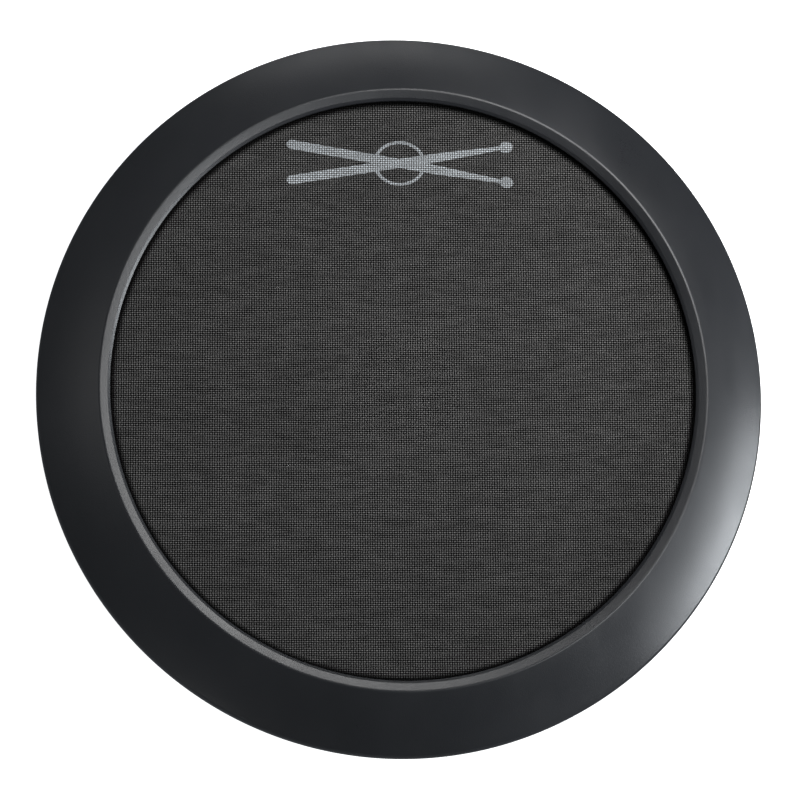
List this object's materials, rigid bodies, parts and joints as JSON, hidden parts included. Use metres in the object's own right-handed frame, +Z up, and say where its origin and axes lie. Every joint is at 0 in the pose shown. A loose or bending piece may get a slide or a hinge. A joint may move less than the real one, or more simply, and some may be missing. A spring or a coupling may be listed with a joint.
{
  "type": "mesh-head practice pad",
  "caption": "Round practice pad with a woven mesh head under a broad sloped rim, on a shallow bowl with feet, a lead socket and a clamp for a stand's rod.",
  "frame": {"origin": "middle of the pad, on the surface that its feet rest on", "axes": "+Z up through the middle of the playing surface, +Y towards the mount bay and the printed mark, +X towards the wing bolt"},
  "size_m": [0.254, 0.254, 0.0639],
  "materials": {
    "rim_rubber": "satin black moulded rubber with a fine grain",
    "core_plastic": "plain black moulding",
    "mesh_upper": "plain-woven black polyester net with a pale printed mark",
    "mesh_lower": "plain-woven black polyester net",
    "soft_rubber": "matte",
    "case_plastic": "textured black moulding",
    "black_steel": "black zinc plated",
    "bright_steel": "bright zinc plated",
    "foam": "open-cell grey foam",
    "foam_tape": "white double-sided foam tape",
    "sensor_brass": "bright disc",
    "sensor_ceramic": "silvered ceramic disc",
    "plate_steel": "galvanised sheet",
    "lead_sheath": "red flexible sheath",
    "socket_plastic": "black nylon with a threaded nose",
    "clamp_plastic": "glass-filled nylon",
    "foot_rubber": "matte black rubber"
  },
  "bodies": {
    "pad": {"rim_cover": "rim_rubber", "rim_hoop": "core_plastic", "mesh_top": "mesh_upper", "mesh_bottom": "mesh_lower", "head_hoop": "core_plastic", "hoop_gasket": "soft_rubber", "bottom_case": "case_plastic", "rim_screws": "black_steel", "foam_cone": "foam", "cone_tape": "foam_tape", "piezo_plate": "sensor_brass", "piezo_ceramic": "sensor_ceramic", "piezo_tape": "foam_tape", "sensor_plate": "plate_steel", "isolators": "soft_rubber", "sensor_screws": "bright_steel", "rim_piezo_plate": "sensor_brass", "rim_piezo_ceramic": "sensor_ceramic", "rim_piezo_tape": "foam_tape", "head_lead": "lead_sheath", "rim_lead": "lead_sheath", "jack_socket": "socket_plastic", "jack_washer": "bright_steel", "jack_nut": "bright_steel", "clamp_body": "clamp_plastic", "clamp_screws": "black_steel", "clamp_nut": "bright_steel", "rubber_feet": "foot_rubber", "foot_screws": "black_steel"},
    "jaw": {"clamp_jaw": "clamp_plastic"},
    "wing": {"wing_bolt": "bright_steel", "wing_knob": "clamp_plastic", "jaw_clip": "black_steel"}
  },
  "joints": [
    {"name": "jaw_slide", "type": "slide", "parent": "pad", "child": "jaw", "axis": [1, 0, 0], "range_m": [0, 0.003]},
    {"name": "wing_turn", "type": "hinge", "parent": "jaw", "child": "wing", "pos_m": [0.012, 0.0595, 0.017], "axis": [1, 0, 0], "range_deg": [0, 1080]}
  ],
  "couplings": [
    {"joint": "wing_turn", "follows": "jaw_slide", "rad_per_m": 6283.2}
  ]
}
